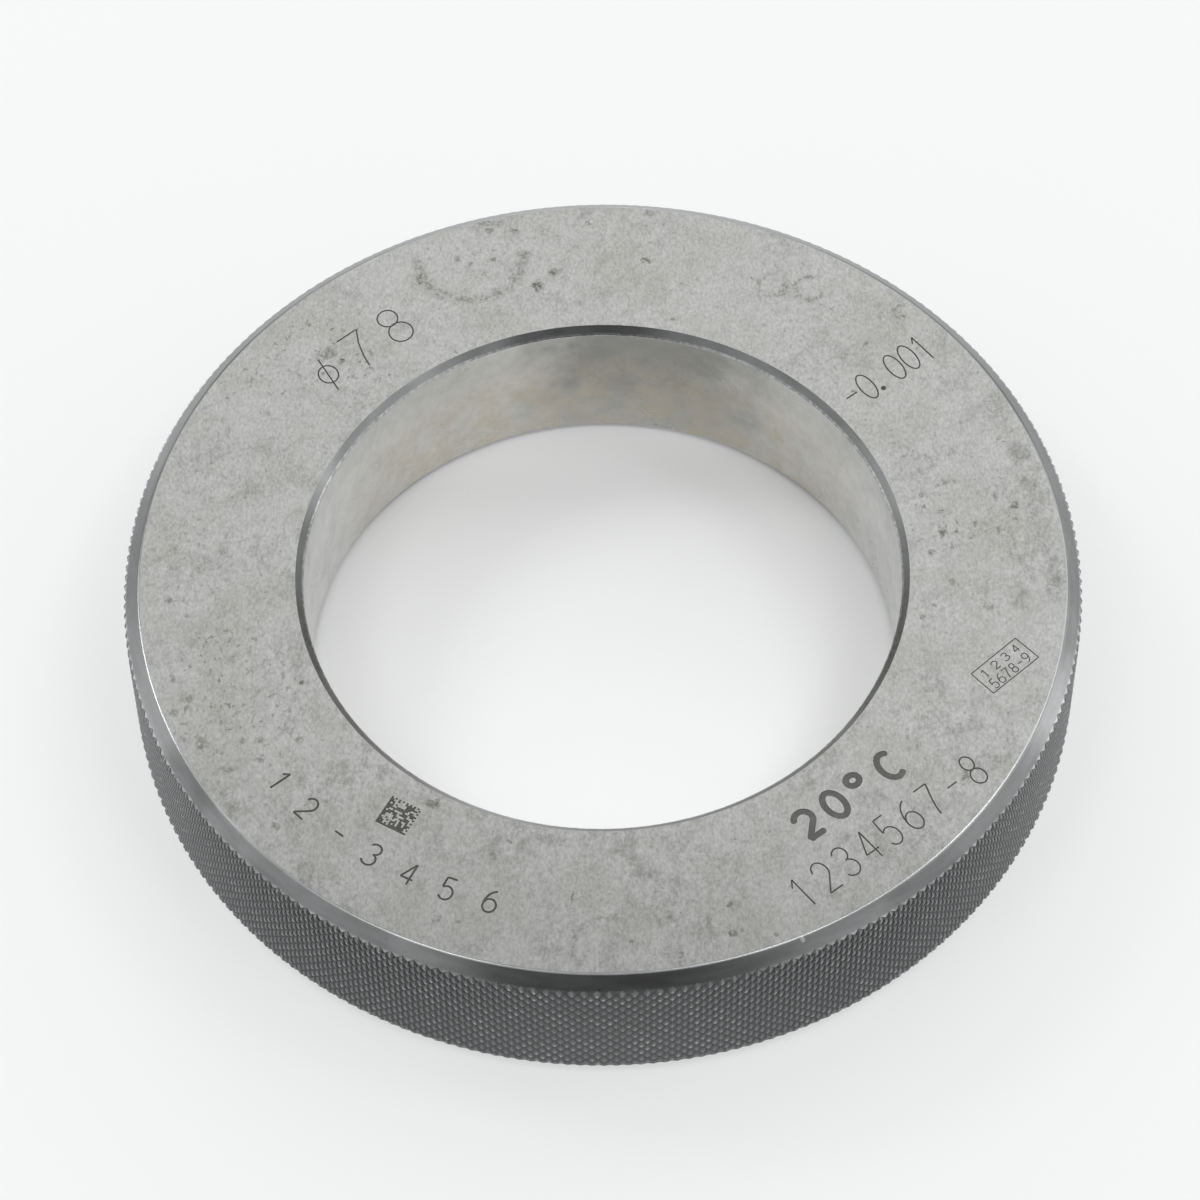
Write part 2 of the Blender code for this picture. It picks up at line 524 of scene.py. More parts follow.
class GAUGE_OT_knurl(bpy.types.Operator):
    """Raise the diamonds of the knurl on the rim's band"""

    bl_idname = "gauge.knurl"
    bl_label = "Knurl the rim"

    def execute(self, context):
        sizes = context.scene.ring_shape
        ring = bpy.data.objects[PIECE]
        crest = sizes.outer_diameter / 2
        root = crest - sizes.knurl_depth
        band_top = sizes.height - sizes.rim_chamfer + sizes.knurl_depth
        band_foot = sizes.height - band_top
        row = (band_top - band_foot) / sizes.knurl_rows
        column = 2 * math.pi * root / sizes.knurl_columns
        slack = root * (1 - math.cos(math.pi / sizes.knurl_columns)) + SAME_PLACE

        def on_band(vertex):
            inside = band_foot - SAME_PLACE < vertex.co.z < band_top + SAME_PLACE
            return inside and abs(radius_of(vertex.co) - root) < slack

        def on_row_line(vertex):
            rows_up = (vertex.co.z - band_foot) / row
            return abs(rows_up - round(rows_up)) < 0.05

        def band_face(face):
            return all(on_band(vertex) for vertex in face.verts)

        def square_side(edge):
            at_end = all(near(v.co.z, band_top) or near(v.co.z, band_foot) for v in edge.verts)
            level = near(edge.verts[0].co.z, edge.verts[1].co.z)
            return all(on_band(v) and on_row_line(v) for v in edge.verts) and not (at_end and level)

        edit(ring)
        squares = pick(ring, "faces", band_face)
        if squares != sizes.knurl_columns * sizes.knurl_rows:
            raise RuntimeError(f"the rim's band has {squares} squares")
        bpy.ops.mesh.poke()
        pick(ring, "edges", square_side)
        bpy.ops.mesh.dissolve_edges(use_verts=False, use_face_split=False)

        # Whole diamonds get steep flanks and a domed crest.
        side_distance = column * row / (2 * math.hypot(column, row))
        crown = sizes.knurl_depth * sizes.crown_share
        pick(ring, "faces", lambda f: band_face(f) and len(f.verts) == 4)
        bpy.ops.mesh.inset(
            thickness=side_distance * (1 - sizes.crest_share), depth=sizes.knurl_depth - crown,
            use_individual=True)
        inset_count = len(bmesh.from_edit_mesh(ring.data).verts)
        bpy.ops.mesh.poke(offset=crown)
        pick(ring, "verts", lambda v: v.index >= inset_count)
        move_out(ring, crest)

        # Half diamonds are cut by the chamfer, so their points lie on its cone.
        flank = (1 - sizes.crest_share) * row / 2
        past = (crest + band_top - sizes.crest_share * row / 2) - (root + band_top)
        share = past / (sizes.knurl_depth + flank)
        tip_radius = crest - sizes.knurl_depth * share
        tip_height = root + band_top - tip_radius
        count = len(bmesh.from_edit_mesh(ring.data).verts)
        pick(ring, "faces", lambda f: band_face(f) and len(f.verts) == 3)
        bpy.ops.mesh.poke()
        for is_top in (True, False):
            pick(ring, "verts", lambda v: v.index >= count and (v.co.z > sizes.height / 2) == is_top)
            height = tip_height if is_top else sizes.height - tip_height
            bpy.ops.transform.translate(value=(0.0, 0.0, height - move_out(ring, tip_radius)))
        bpy.ops.object.mode_set(mode="OBJECT")
        return {"FINISHED"}


# Materials

class Graph:
    """Short ways to add nodes to one node tree."""

    def __init__(self, tree):
        self.tree = tree

    def add(self, kind, inputs=None, **settings):
        node = self.tree.nodes.new(kind)
        for name, value in settings.items():
            setattr(node, name, value)
        for key, value in (inputs or {}).items():
            self.feed(node.inputs[key], value)
        return node

    def feed(self, socket, value):
        if isinstance(value, bpy.types.NodeSocket):
            self.tree.links.new(value, socket)
        else:
            socket.default_value = value

    def math(self, operation, a, b=0.0, c=0.0):
        return self.add("ShaderNodeMath", {0: a, 1: b, 2: c}, operation=operation).outputs[0]

    def plus(self, a, b):
        return self.math("ADD", a, b)

    def minus(self, a, b):
        return self.math("SUBTRACT", a, b)

    def over(self, a, b):
        return self.math("DIVIDE", a, b)

    def times(self, a, *factors):
        """A product of two or more values."""
        for factor in factors:
            a = self.math("MULTIPLY", a, factor)
        return a

    def largest(self, a, *others):
        """The largest of two or more values."""
        for other in others:
            a = self.math("MAXIMUM", a, other)
        return a

    def gap(self, a, b):
        """How far apart two values are."""
        return self.math("ABSOLUTE", self.minus(a, b))

    def vector(self, operation, a, b=ORIGIN):
        return self.add("ShaderNodeVectorMath", {0: a, 1: b}, operation=operation).outputs[0]

    def measure(self, operation, a, b=ORIGIN):
        return self.add("ShaderNodeVectorMath", {0: a, 1: b}, operation=operation).outputs["Value"]

    def length(self, a):
        return self.measure("LENGTH", a)

    def dot(self, a, b):
        return self.measure("DOT_PRODUCT", a, b)

    def scaled(self, a, factor):
        """A vector or a colour times a factor."""
        a = a if isinstance(a, bpy.types.NodeSocket) else tuple(a)[:3]
        return self.add("ShaderNodeVectorMath", {0: a, "Scale": factor}, operation="SCALE").outputs[0]

    def ramp(self, value, low, high, start=0.0, end=1.0):
        """Smooth step of a value between two limits."""
        node = self.add(
            "ShaderNodeMapRange",
            {"Value": value, "From Min": low, "From Max": high, "To Min": start, "To Max": end},
            interpolation_type="SMOOTHSTEP")
        return node.outputs[0]

    def mix(self, factor, a, b):
        return self.add("ShaderNodeMix", {0: factor, 6: a, 7: b}, data_type="RGBA").outputs[2]

    def split(self, a):
        return self.add("ShaderNodeSeparateXYZ", {0: a}).outputs

    def join(self, x=0.0, y=0.0, z=0.0):
        return self.add("ShaderNodeCombineXYZ", {"X": x, "Y": y, "Z": z}).outputs[0]

    def place(self, shift=None):
        """Place on the object in millimetres, shifted along x and y by an input."""
        place = self.scaled(self.add("ShaderNodeTexCoord").outputs["Object"], 1 / MM)
        return place if shift is None else self.vector("ADD", place, self.join(shift, shift, 0.0))

    def radius(self, x, y):
        """Distance from the ring's axis."""
        return self.length(self.join(x, y, 0.0))

    def noise(self, vector, scale, detail, roughness, distortion=0.0, output="Fac"):
        return self.add(
            "ShaderNodeTexNoise",
            {"Vector": vector, "Scale": scale, "Detail": detail, "Roughness": roughness,
             "Distortion": distortion}).outputs[output]

    def patches(self, place, scale, detail, roughness, low, high, start=0.0, end=1.0):
        """Soft-edged patches: noise stepped between two limits."""
        return self.ramp(self.noise(place, scale, detail, roughness), low, high, start, end)

    def wobbled(self, place, scale, reach):
        """A place moved by noise, so that what is drawn there gets an irregular edge."""
        colour = self.noise(place, scale, 3.0, 0.6, output="Color")
        move = self.scaled(self.vector("SUBTRACT", colour, (0.5, 0.5, 0.5)), reach)
        return self.vector("ADD", place, move)

    def use(self, name, **values):
        """The outputs of a group node with its own values."""
        node = self.add("ShaderNodeGroup", node_tree=bpy.data.node_groups[name])
        for label, value in values.items():
            self.feed(node.inputs[label], value)
        return node.outputs

    def mask(self, name, **values):
        """The mask of a group node with its own values."""
        return self.use(name, **values)["Mask"]


def new_group(name, inputs, output_names=("Mask",)):
    """An empty shader node group with named sockets."""
    group = bpy.data.node_groups.new(name, "ShaderNodeTree")
    for label, value in inputs:
        kind = "NodeSocketVector" if isinstance(value, tuple) else "NodeSocketFloat"
        socket = group.interface.new_socket(name=label, in_out="INPUT", socket_type=kind)
        socket.default_value = value
    for label in output_names:
        group.interface.new_socket(name=label, in_out="OUTPUT", socket_type="NodeSocketFloat")
    graph = Graph(group)
    return graph, graph.add("NodeGroupInput").outputs, graph.add("NodeGroupOutput").inputs


def mottle_group():
    """Irregular mottle of one grain size, drawn out along Y."""
    graph, given, result = new_group(
        "mottle", [("Size", 2.0), ("Stretch", 1.0), ("Low", 0.4), ("High", 0.65), ("Shift", 0.0)])
    moved = graph.place(given["Shift"])
    shrink = graph.over(1.0, given["Size"])
    drawn = graph.over(shrink, given["Stretch"])
    place = graph.vector("MULTIPLY", moved, graph.join(shrink, drawn, shrink))
    drawn_out = graph.noise(place, 1.0, 6.0, 0.7, 0.2)
    graph.feed(result["Mask"], graph.ramp(drawn_out, given["Low"], given["High"]))


def specks_group():
    """Small irregular specks, gathered in loose clusters."""
    graph, given, result = new_group(
        "specks", [("Spacing", 2.0), ("Size", 0.3), ("Gather", 0.5), ("Shift", 0.0)])
    moved = graph.place(given["Shift"])
    place = graph.wobbled(moved, 1.6, 1.1)
    cells = graph.add("ShaderNodeTexVoronoi", {"Vector": place, "Scale": graph.over(1.0, given["Spacing"])})
    draw = graph.add("ShaderNodeSeparateColor", {0: cells.outputs["Color"]}).outputs[0]
    limit = graph.times(graph.patches(moved, 0.13, 3.0, 0.5, 0.40, 0.62), given["Gather"])
    chosen = graph.math("LESS_THAN", draw, limit)
    size = graph.times(given["Size"], graph.plus(0.35, graph.over(draw, limit)))
    inside = graph.minus(size, cells.outputs["Distance"])
    graph.feed(result["Mask"], graph.times(graph.ramp(inside, 0.0, 0.12), chosen))


def flecks_group():
    """Dense irregular flecks with ragged edges."""
    graph, given, result = new_group("flecks", [("Scale", 1.8), ("Amount", 0.6), ("Shift", 0.0)])
    moved = graph.place(given["Shift"])
    scale = graph.join(given["Scale"], graph.times(given["Scale"], 0.75), 0.0)
    ragged = graph.noise(graph.vector("MULTIPLY", moved, scale), 1.0, 4.0, 0.65, 0.5)
    low = graph.minus(0.66, graph.times(given["Amount"], 0.12))
    graph.feed(result["Mask"], graph.ramp(ragged, low, graph.plus(low, 0.07)))


def spot_group():
    """One soft-edged spot round a place, in millimetres."""
    graph, given, result = new_group(
        "spot", [("Place", ORIGIN), ("Centre", ORIGIN), ("Radius", 0.5), ("Stretch", 1.0)])
    off = graph.vector("MULTIPLY", graph.vector("SUBTRACT", given["Place"], given["Centre"]),
                       graph.join(1.0, graph.over(1.0, given["Stretch"]), 0.0))
    graph.feed(result["Mask"], graph.ramp(graph.over(graph.length(off), given["Radius"]), 1.3, 0.5))


def tide_mark_group():
    """What a dried drop leaves: part of a broken ring round a place, in millimetres and degrees."""
    graph, given, result = new_group(
        "tide_mark",
        [("Place", ORIGIN), ("Centre", ORIGIN), ("Radius", 3.0), ("Width", 0.8),
         ("Stretch", 1.0), ("Opening", 0.0), ("Reach", -1.0), ("Gaps", 1.0)])
    off = graph.vector("MULTIPLY", graph.vector("SUBTRACT", given["Place"], given["Centre"]),
                       graph.join(1.0, given["Stretch"], 0.0))
    distance = graph.length(off)
    miss = graph.gap(distance, given["Radius"])
    band = graph.ramp(graph.over(miss, given["Width"]), 1.0, 0.0)
    x, y, _ = graph.split(off)
    angle = graph.math("RADIANS", given["Opening"])
    towards = graph.plus(graph.times(x, graph.math("COSINE", angle)),
                         graph.times(y, graph.math("SINE", angle)))
    facing = graph.over(towards, distance)
    closed = graph.ramp(facing, graph.plus(given["Reach"], 0.25), given["Reach"])
    graph.feed(result["Mask"], graph.times(band, closed, given["Gaps"]))


def turned_lines_group():
    """Fine lines left by turning, round the axis, and slow changes along them."""
    graph, given, result = new_group("turned_lines", [("Pitch", 0.15)], ["Height", "Streak"])
    place = graph.place()
    x, y, z = graph.split(place)
    radius = graph.radius(x, y)
    fine = graph.join(graph.over(radius, given["Pitch"]), graph.over(z, given["Pitch"]), 0.0)
    angle = graph.math("ARCTAN2", y, x)
    slow = graph.join(graph.times(graph.math("COSINE", angle), 6.0),
                      graph.times(graph.math("SINE", angle), 6.0),
                      graph.times(radius, 0.8))
    graph.feed(result["Height"], graph.noise(fine, 1.0, 3.0, 0.5))
    graph.feed(result["Streak"], graph.noise(slow, 1.0, 4.0, 0.6))


GROUPS = (mottle_group, specks_group, flecks_group, spot_group, tide_mark_group, turned_lines_group)


def new_material(name):
    """A node material with a principled shader, and its graph."""
    material = bpy.data.materials.new(name)
    material.use_nodes = True
    return material, Graph(material.node_tree)


def paint(material, graph, colour, metallic, roughness, relief=None, strength=0.0):
    """Feed a material its colour, its gloss and, where it has one, its fine relief."""
    shader = material.node_tree.nodes["Principled BSDF"]
    graph.feed(shader.inputs["Base Color"], colour)
    shader.inputs["Metallic"].default_value = metallic
    graph.feed(shader.inputs["Roughness"], roughness)
    if relief is not None:
        bump = graph.add("ShaderNodeBump", {"Strength": strength, "Distance": RELIEF, "Height": relief})
        graph.feed(shader.inputs["Normal"], bump.outputs[0])
    return material


# Stains on the top face: x and y of the centre, radius, stretch along y, and strength
FACE_SPOTS = (
    (-6.0, 49.1, 0.8, 1.0, 0.6), (-8.1, 46.8, 0.85, 1.2, 0.7), (-10.0, 52.2, 1.0, 0.6, 0.4),
    (6.6, 50.9, 0.55, 1.1, 0.6), (7.3, 59.2, 0.7, 0.8, 0.5), (-1.2, 57.4, 0.4, 1.2, 0.5),
    (-11.4, 56.7, 0.3, 1.5, 0.7), (-14.8, 56.6, 0.8, 0.5, 0.4), (-14.5, 57.8, 2.2, 0.22, 0.35),
    (10.0, 40.9, 0.4, 1.0, 0.5), (-24.2, 48.3, 0.5, 1.9, 0.7), (-19.0, 51.8, 0.6, 1.3, 0.4),
    (-17.4, 50.8, 0.5, 1.0, 0.35), (44.5, 8.3, 0.4, 1.3, 0.55), (44.6, 5.0, 0.55, 1.3, 0.6),
    (43.0, 1.6, 0.45, 1.4, 0.5), (46.4, 5.0, 0.35, 1.4, 0.45), (54.3, 9.1, 0.6, 0.9, 0.55),
    (52.0, 5.2, 0.35, 1.6, 0.5), (55.3, 17.5, 1.6, 1.0, 0.3), (52.5, 25.6, 2.0, 1.0, 0.22),
    (41.2, -8.5, 0.3, 1.4, 0.5), (58.6, -3.0, 1.0, 4.0, 0.25), (-4.3, -49.3, 0.35, 2.0, 0.45),
    (15.2, -51.0, 0.6, 1.0, 0.5), (15.6, -55.3, 0.55, 1.0, 0.55), (8.9, -58.1, 0.5, 1.0, 0.45),
    (-14.2, -43.4, 0.8, 0.8, 0.35), (-22.0, -35.5, 0.9, 0.8, 0.5), (-41.6, -38.5, 0.7, 1.0, 0.45),
    (-21.4, -52.3, 0.6, 1.0, 0.45), (-43.5, -28.3, 0.6, 1.0, 0.45), (-56.4, -3.8, 0.6, 1.2, 0.45),
    (-36.6, 35.6, 1.4, 0.8, 0.45), (-34.8, 34.3, 0.5, 1.0, 0.6), (45.5, -32.6, 0.7, 0.9, 0.5),
    (-53.3, -19.0, 0.9, 0.9, 0.4), (-55.0, -21.4, 0.7, 0.8, 0.35), (-51.3, -25.9, 0.9, 1.1, 0.4),
    (-46.2, -25.7, 0.5, 1.0, 0.45), (-43.9, -25.6, 0.8, 0.5, 0.45), (-43.7, -28.3, 0.7, 0.9, 0.4),
    (-38.9, -25.7, 0.6, 1.0, 0.4), (-48.0, -30.0, 1.0, 0.6, 0.45), (-38.7, -16.9, 0.4, 1.0, 0.6),
    (45.5, -2.8, 0.5, 1.2, 0.35), (50.0, -7.0, 0.7, 1.0, 0.35), (45.4, 12.9, 0.5, 1.3, 0.35),
)
# Tide marks on the top face: x and y of the centre, radius, width, stretch, opening, reach, and strength
FACE_TIDE_MARKS = (
    (-17.4, 51.0, 7.0, 1.5, 1.1, 90.0, 0.0, 0.42),
    (23.6, 46.4, 1.9, 0.6, 1.0, 60.0, 0.7, 0.42),
    (28.8, 45.6, 2.0, 0.6, 1.0, 20.0, 0.6, 0.4),
    (41.0, 41.4, 1.0, 0.45, 1.0, 0.0, 0.5, 0.5),
    (42.7, 16.2, 1.2, 0.5, 1.0, 200.0, 0.8, 0.3),
    (-0.3, -56.6, 4.1, 0.7, 1.0, -45.0, -0.25, 0.4),
)
# Where flecks of corrosion gather: x and y of the centre, radius, stretch along y, and share
FACE_CLUSTERS = (
    (-48.0, -18.0, 10.0, 1.3, 1.0), (-43.0, -29.0, 6.5, 1.0, 0.75), (-54.0, 2.0, 7.0, 2.0, 0.6),
    (-52.0, 14.0, 6.5, 1.4, 0.5), (-38.0, 38.0, 8.0, 1.0, 1.0), (-44.0, 31.0, 6.5, 1.0, 0.7),
    (-33.0, 33.0, 4.5, 1.0, 1.0), (-18.0, 50.0, 7.5, 0.7, 0.5), (45.0, 8.0, 5.5, 1.5, 1.0),
    (53.0, 12.0, 5.5, 2.0, 0.8), (44.0, 23.0, 5.5, 1.0, 0.4), (40.0, -38.0, 6.5, 1.0, 0.6),
    (27.0, 44.0, 7.0, 0.6, 0.45), (0.0, -50.0, 10.0, 0.6, 0.25),
)
BRIGHT_NICKS = ((24.0, -55.9, 0.3, 1.0, 0.8), (33.5, -45.1, 0.3, 1.0, 0.7))
# What the faces' clouding averages to, towards which it calms down on the far side
MEAN_DULLNESS = 0.26
# Radius of the rounding between the top face and the rim's chamfer, where a painted highlight lies
ROUNDED_EDGE = 60.45


def spots(graph, place, places):
    """One mask for many spots."""
    mask = 0.0
    for x, y, radius, stretch, strength in places:
        spot = graph.mask("spot", Place=place, Centre=(x, y, 0.0), Radius=radius, Stretch=stretch)
        mask = graph.largest(mask, graph.times(spot, strength))
    return mask


def lapped_face(finish):
    """Lapped flat face: grey steel with fine mottle, clustered specks, spots and tide marks."""
    material, graph = new_material("lapped_face")
    place = graph.place()
    broad = graph.mask("mottle", Size=16.0, Low=0.36, High=0.64)
    blotch = graph.mask("mottle", Size=3.0, Stretch=1.2, Low=0.44, High=0.66, Shift=31.0)
    fine = graph.mask("mottle", Size=0.9, Stretch=1.7, Low=0.42, High=0.66, Shift=9.0)
    grain = graph.mask("mottle", Size=0.35, Stretch=1.8, Low=0.25, High=0.75, Shift=3.0)
    thick = graph.math("MULTIPLY_ADD", broad, 0.7, 0.3)
    dull = graph.times(thick, graph.math("MULTIPLY_ADD", blotch, 0.62, graph.times(fine, 0.58)))
    y = graph.split(place)[1]
    calm = graph.ramp(y, -25.0, 45.0, 0.0, 0.4)
    dull = graph.math("MULTIPLY_ADD", graph.minus(MEAN_DULLNESS, dull), calm, dull)
    colour = graph.mix(dull, finish.face, finish.cloud_and_shade)
    olive = graph.patches(place, 0.09, 5.0, 0.65, 0.46, 0.62)
    colour = graph.mix(graph.times(olive, 0.55), colour, finish.olive)
    colour = graph.scaled(colour, graph.ramp(grain, 0.0, 1.0, 1.15, 0.86))
    colour = graph.scaled(colour, graph.ramp(y, -60.0, -25.0, 0.88, 1.0))
    specks = graph.mask("specks", Spacing=0.8, Size=0.26, Gather=0.6)
    pits = graph.mask("specks", Spacing=2.2, Size=0.17, Gather=0.5, Shift=57.0)
    bent = graph.wobbled(graph.wobbled(place, 0.45, 1.6), 1.7, 1.1)
    broken = graph.patches(place, 1.9, 5.0, 0.72, 0.42, 0.58, 0.35, 1.5)
    gathered = graph.patches(place, 0.33, 4.0, 0.6, 0.42, 0.56)
    share = graph.largest(spots(graph, bent, FACE_CLUSTERS), 0.3)
    flecks = graph.mask("flecks", Scale=1.15, Amount=0.8)
    flecks = graph.times(flecks, gathered, share, 0.6)
    stained = spots(graph, bent, FACE_SPOTS)
    gaps = graph.patches(bent, 0.8, 5.0, 0.7, 0.34, 0.56, 0.25, 1.0)
    for x, y, radius, width, stretch, opening, reach, strength in FACE_TIDE_MARKS:
        mark = graph.mask("tide_mark", Place=bent, Centre=(x, y, 0.0), Radius=radius, Width=width,
                          Stretch=stretch, Opening=opening, Reach=reach, Gaps=gaps)
        stained = graph.largest(stained, graph.times(mark, strength))
    dark = graph.largest(
        graph.times(specks, 0.3), graph.times(pits, 0.55), flecks, graph.times(stained, broken))
    colour = graph.mix(dark, colour, finish.pit)
    rough = graph.math("MULTIPLY_ADD", dark, 0.2, graph.math("MULTIPLY_ADD", dull, 0.14, 0.3))
    return paint(material, graph, colour, 1.0, rough, grain, 0.2)


# Painted light and shade on the chamfers, lighter or darker lengths by azimuth: azimuth, half of the width,
# and share
RIM_PAINTED_LIGHT = (
    (-20.0, 9.0, 1.28), (14.0, 24.0, 0.84), (-160.0, 8.0, 1.15), (-150.0, 6.0, 0.8), (-140.0, 6.0, 1.2),
    (-110.0, 8.0, 1.25), (-50.0, 7.0, 0.8), (90.0, 100.0, 0.7), (176.0, 15.0, 0.74),
)
BORE_PAINTED_LIGHT = (
    (-75.0, 36.0, 0.47), (-135.0, 20.0, 0.84), (140.0, 26.0, 1.28), (106.0, 9.0, 1.25), (74.0, 9.0, 1.25),
    (166.0, 9.0, 0.78),
)


def turned_chamfer(name, colour, roughness, pitch, finish, edge, reach, painted_light):
    """Turned chamfer: satin steel with fine lines round the axis, a few bright nicked spots, one edge
    lightened by wear, painted light and shade by azimuth, and a painted highlight on the rounding at the
    rim's top edge.
    """
    material, graph = new_material(name)
    turned = graph.use("turned_lines", Pitch=pitch)
    dull = graph.mask("mottle", Size=2.6, Low=0.4, High=0.7, Shift=12.0)
    shaded = graph.scaled(colour, graph.ramp(turned["Streak"], 0.35, 0.65, 0.9, 1.08))
    shaded = graph.mix(graph.times(dull, 0.3), shaded, finish.cloud_and_shade)
    specks = graph.mask("specks", Spacing=2.6, Size=0.14, Gather=0.35, Shift=93.0)
    shaded = graph.mix(graph.times(specks, 0.4), shaded, finish.pit)
    place = graph.place()
    nicks_and_sheen = spots(graph, graph.wobbled(place, 2.5, 0.3), BRIGHT_NICKS)
    x, y, _ = graph.split(place)
    flat = graph.join(x, y, 0.0)
    outward = graph.vector("NORMALIZE", flat)
    # Painted light and shade: lengths of the chamfer made lighter or darker by azimuth
    for azimuth, width, share in painted_light:
        towards = graph.dot(outward, direction(azimuth))
        shaded = graph.scaled(shaded, graph.ramp(towards, cosine(width), cosine(width / 3), 1.0, share))
    radius = graph.length(flat)
    off = graph.gap(radius, ROUNDED_EDGE)
    # Painted highlight along the rounding to the top face, stronger to the right and on the near half
    rounded = graph.times(
        graph.ramp(off, 0.3, 0.15), graph.ramp(x, -30.0, 30.0, 0.06, 0.3),
        graph.ramp(y, -52.0, -40.0), graph.ramp(y, 25.0, 0.0))
    ragged = graph.patches(place, 1.6, 3.0, 0.6, 0.38, 0.62, 0.2, 0.75)
    burred = graph.times(graph.ramp(graph.gap(radius, edge), reach, reach / 2), ragged)
    nicks_and_sheen = graph.largest(nicks_and_sheen, rounded, burred)
    rough = graph.math("MULTIPLY_ADD", turned["Streak"], 0.12, roughness)
    return paint(material, graph, graph.mix(nicks_and_sheen, shaded, finish.worn_and_sheen), 1.0, rough, turned["Height"], 0.3)


def knurled_rim(finish, sizes):
    """Knurled rim: dark satin steel with painted shade in its grooves, crests lightened by wear, and cut
    ends lightened partly by wear and partly by a painted glint that grows towards the sides.
    """
    material, graph = new_material("knurled_rim")
    place = graph.place()
    x, y, z = graph.split(place)
    radius = graph.radius(x, y)
    crest = sizes.outer_diameter / 2 / MM
    depth = sizes.knurl_depth / MM
    # Painted shade: darker down in the grooves, lighter on the crests
    painted_groove_shade = graph.ramp(radius, crest - depth, crest, 0.6, 1.1)
    grain = graph.noise(place, 4.0, 3.0, 0.7)
    colour = graph.scaled(finish.knurl, graph.times(painted_groove_shade, graph.ramp(grain, 0.25, 0.75, 0.82, 1.18)))
    high = graph.ramp(radius, crest - depth * 0.35, crest)
    patches = graph.patches(place, 0.35, 4.0, 0.7, 0.44, 0.66)
    middle = sizes.height / 2 / MM
    reach = middle - sizes.rim_chamfer / MM
    off = graph.gap(z, middle)
    ends = graph.ramp(off, reach - 0.35, reach)
    # Cut ends lightened partly by wear and partly by a painted glint, fainter in the middle and stronger
    # towards the sides
    painted_glints = graph.patches(place, 1.7, 3.0, 0.6, 0.44, 0.6, 0.25, 1.0)
    painted_glints = graph.times(painted_glints, graph.ramp(graph.math("ABSOLUTE", x), 8.0, 40.0, 0.5, 1.0))
    worn_and_sheen = graph.largest(graph.times(high, patches, 0.35), graph.times(ends, painted_glints, 0.38))
    rough = graph.ramp(grain, 0.2, 0.8, 0.32, 0.44)
    return paint(material, graph, graph.mix(worn_and_sheen, colour, finish.worn_and_sheen), 0.95, rough, grain, 0.35)


# Azimuth of the bore's dull patch, which is partly duller steel and partly painted shade
DULL_AND_SHADED_SIDE = 80.0


def lapped_bore(finish, sizes):
    """Lapped bore: smoother and brighter than the faces, with warm tarnish on its far side and a dark patch
    there that is partly duller steel and partly painted shade.
    """
    material, graph = new_material("lapped_bore")
    place = graph.place()
    x, y, z = graph.split(place)
    dull = graph.mask("mottle", Size=9.0, Low=0.4, High=0.65, Shift=77.0)
    colour = graph.mix(graph.times(dull, 0.16), finish.bore, finish.cloud_and_shade)
    wall = sizes.bore_diameter / 2 / MM
    bent_x, bent_y, bent_z = graph.split(graph.wobbled(place, 0.16, 6.0))
    facing = graph.plus(
        graph.times(bent_x, cosine(DULL_AND_SHADED_SIDE) / wall), graph.times(bent_y, sine(DULL_AND_SHADED_SIDE) / wall))
    # Dark patch on the far wall, stronger towards the top: partly duller steel, partly painted shade
    dull_and_shaded_patch = graph.times(graph.ramp(facing, 0.86, 0.99), graph.ramp(bent_z, 1.0, 14.0, 0.32, 0.8))
    far = graph.ramp(y, 12.0, 34.0)
    colour = graph.mix(graph.times(far, 0.45), colour, finish.tint)
    colour = graph.mix(dull_and_shaded_patch, colour, finish.cloud_and_shade)
    colour = graph.scaled(colour, graph.ramp(z, 14.0, 20.0, 1.0, 0.9))
    clouds = graph.patches(graph.wobbled(place, 0.4, 2.0), 0.55, 6.0, 0.72, 0.36, 0.66, 1.045, 0.945)
    colour = graph.scaled(colour, clouds)
    warm = graph.times(
        far, graph.ramp(bent_z, 20.0, 6.0, 0.1, 1.0), graph.patches(place, 0.2, 5.0, 0.6, 0.34, 0.6),
        graph.patches(place, 1.1, 5.0, 0.7, 0.36, 0.62, 0.45, 1.0), 0.62)
    colour = graph.mix(warm, colour, finish.rust)
    specks = graph.mask("specks", Spacing=3.0, Size=0.1, Gather=0.3, Shift=14.0)
    colour = graph.mix(graph.times(specks, 0.5), colour, finish.pit)
    rough = graph.math("MULTIPLY_ADD", dull, 0.08, 0.2)
    return paint(material, graph, colour, 1.0, rough, graph.noise(place, 2.0, 4.0, 0.6), 0.06)


def engraved_steel(name, colour, finish):
    """Floor and walls of engraved figures: dark and dull."""
    material, graph = new_material(name)
    grain = graph.noise(graph.place(), 5.0, 4.0, 0.7)
    shaded = graph.scaled(colour, graph.ramp(grain, 0.25, 0.75, 0.75, 1.3))
    dull = graph.mask("mottle", Size=2.0, Low=0.45, High=0.75, Shift=5.0)
    shaded = graph.mix(graph.times(dull, 0.25), shaded, finish.cloud_and_shade)
    return paint(material, graph, shaded, 0.6, graph.ramp(grain, 0.2, 0.8, 0.5, 0.7))


